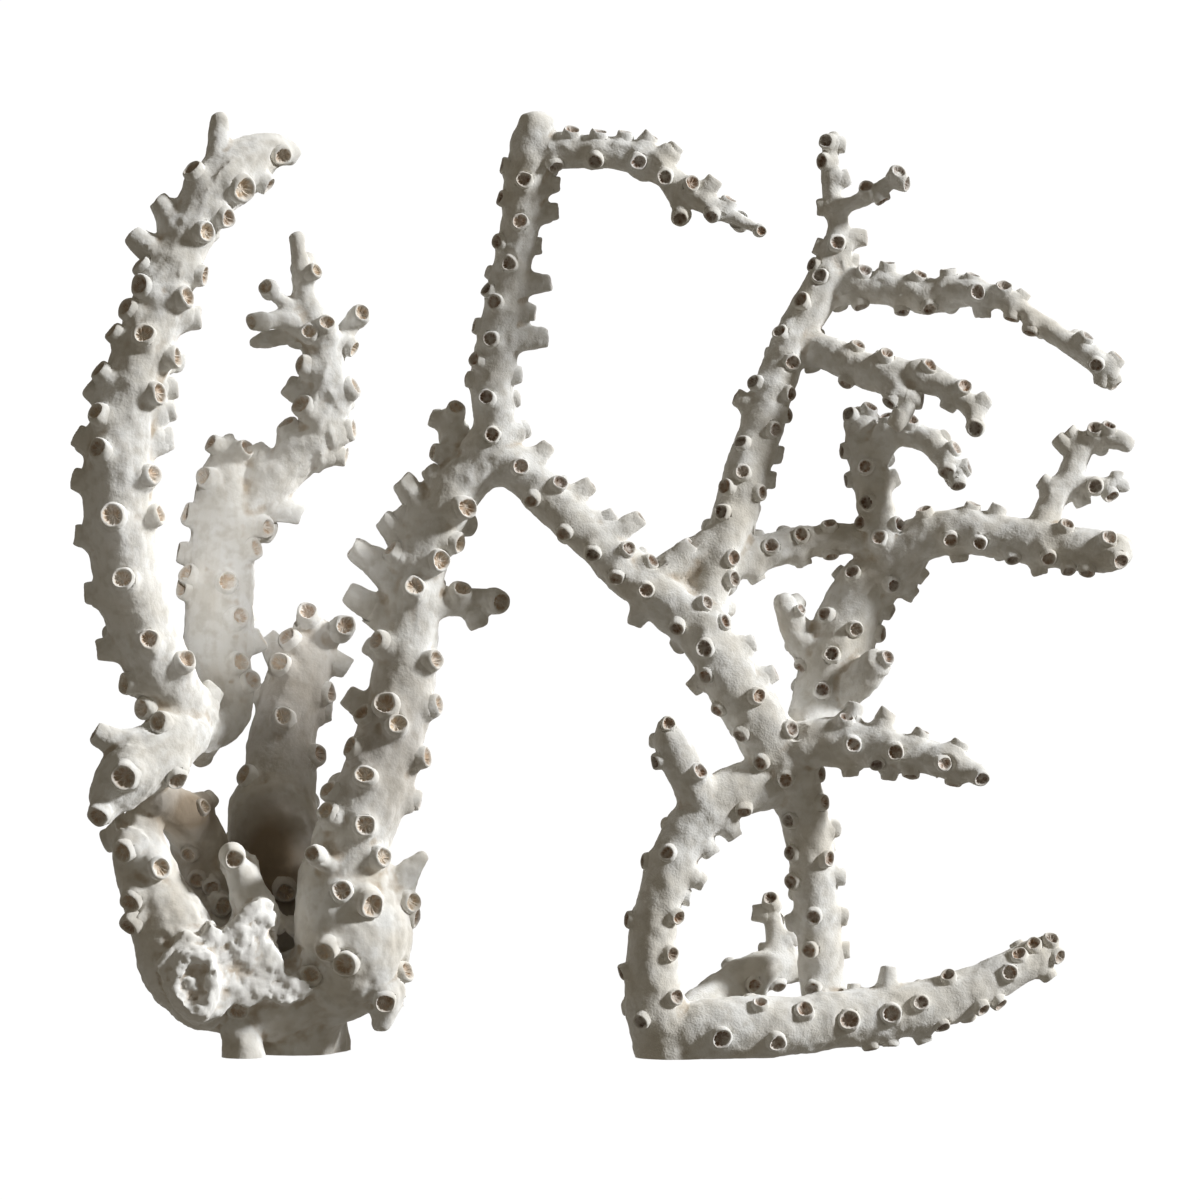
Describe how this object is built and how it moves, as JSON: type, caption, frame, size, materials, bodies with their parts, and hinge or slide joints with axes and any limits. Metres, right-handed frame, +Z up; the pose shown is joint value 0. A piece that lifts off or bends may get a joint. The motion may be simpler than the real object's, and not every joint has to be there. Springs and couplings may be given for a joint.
{
  "type": "branching coral",
  "caption": "White tree-like stony coral colony with a broken base, forking limbs and short tubular cups, cut flat below to stand on a shelf.",
  "frame": {"origin": "on the flat cut below the base, under the middle of the left-hand clump", "axes": "+Z up, +X to the right along the colony's spread, +Y to the back, away from the side that the picture shows"},
  "size_m": [0.3719, 0.1013, 0.3309],
  "materials": {
    "white_skeleton": "matt, fine-grained, off-white",
    "broken_skeleton": "matt, rough where it broke, off-white"
  },
  "bodies": {
    "root": {"base": "broken_skeleton", "left_limb": "white_skeleton", "left_stub": "white_skeleton", "middle_limb": "white_skeleton", "middle_fork": "white_skeleton", "back_limb": "white_skeleton", "right_limb": "white_skeleton", "long_limb": "white_skeleton", "arch_limb": "white_skeleton", "top_spray": "white_skeleton", "long_limb_lower": "white_skeleton", "tall_limb": "white_skeleton", "tall_limb_tip": "white_skeleton", "upper_right_branch": "white_skeleton", "hanging_branch": "white_skeleton", "pillar": "white_skeleton", "high_right_limb": "white_skeleton", "high_right_arm": "white_skeleton", "link_branch": "white_skeleton", "upright_branch": "white_skeleton", "edge_twig": "white_skeleton", "low_right_branch": "white_skeleton", "loop_limb": "white_skeleton", "loop_stub": "white_skeleton", "floor_limb": "white_skeleton", "rear_arm": "white_skeleton"}
  },
  "joints": []
}
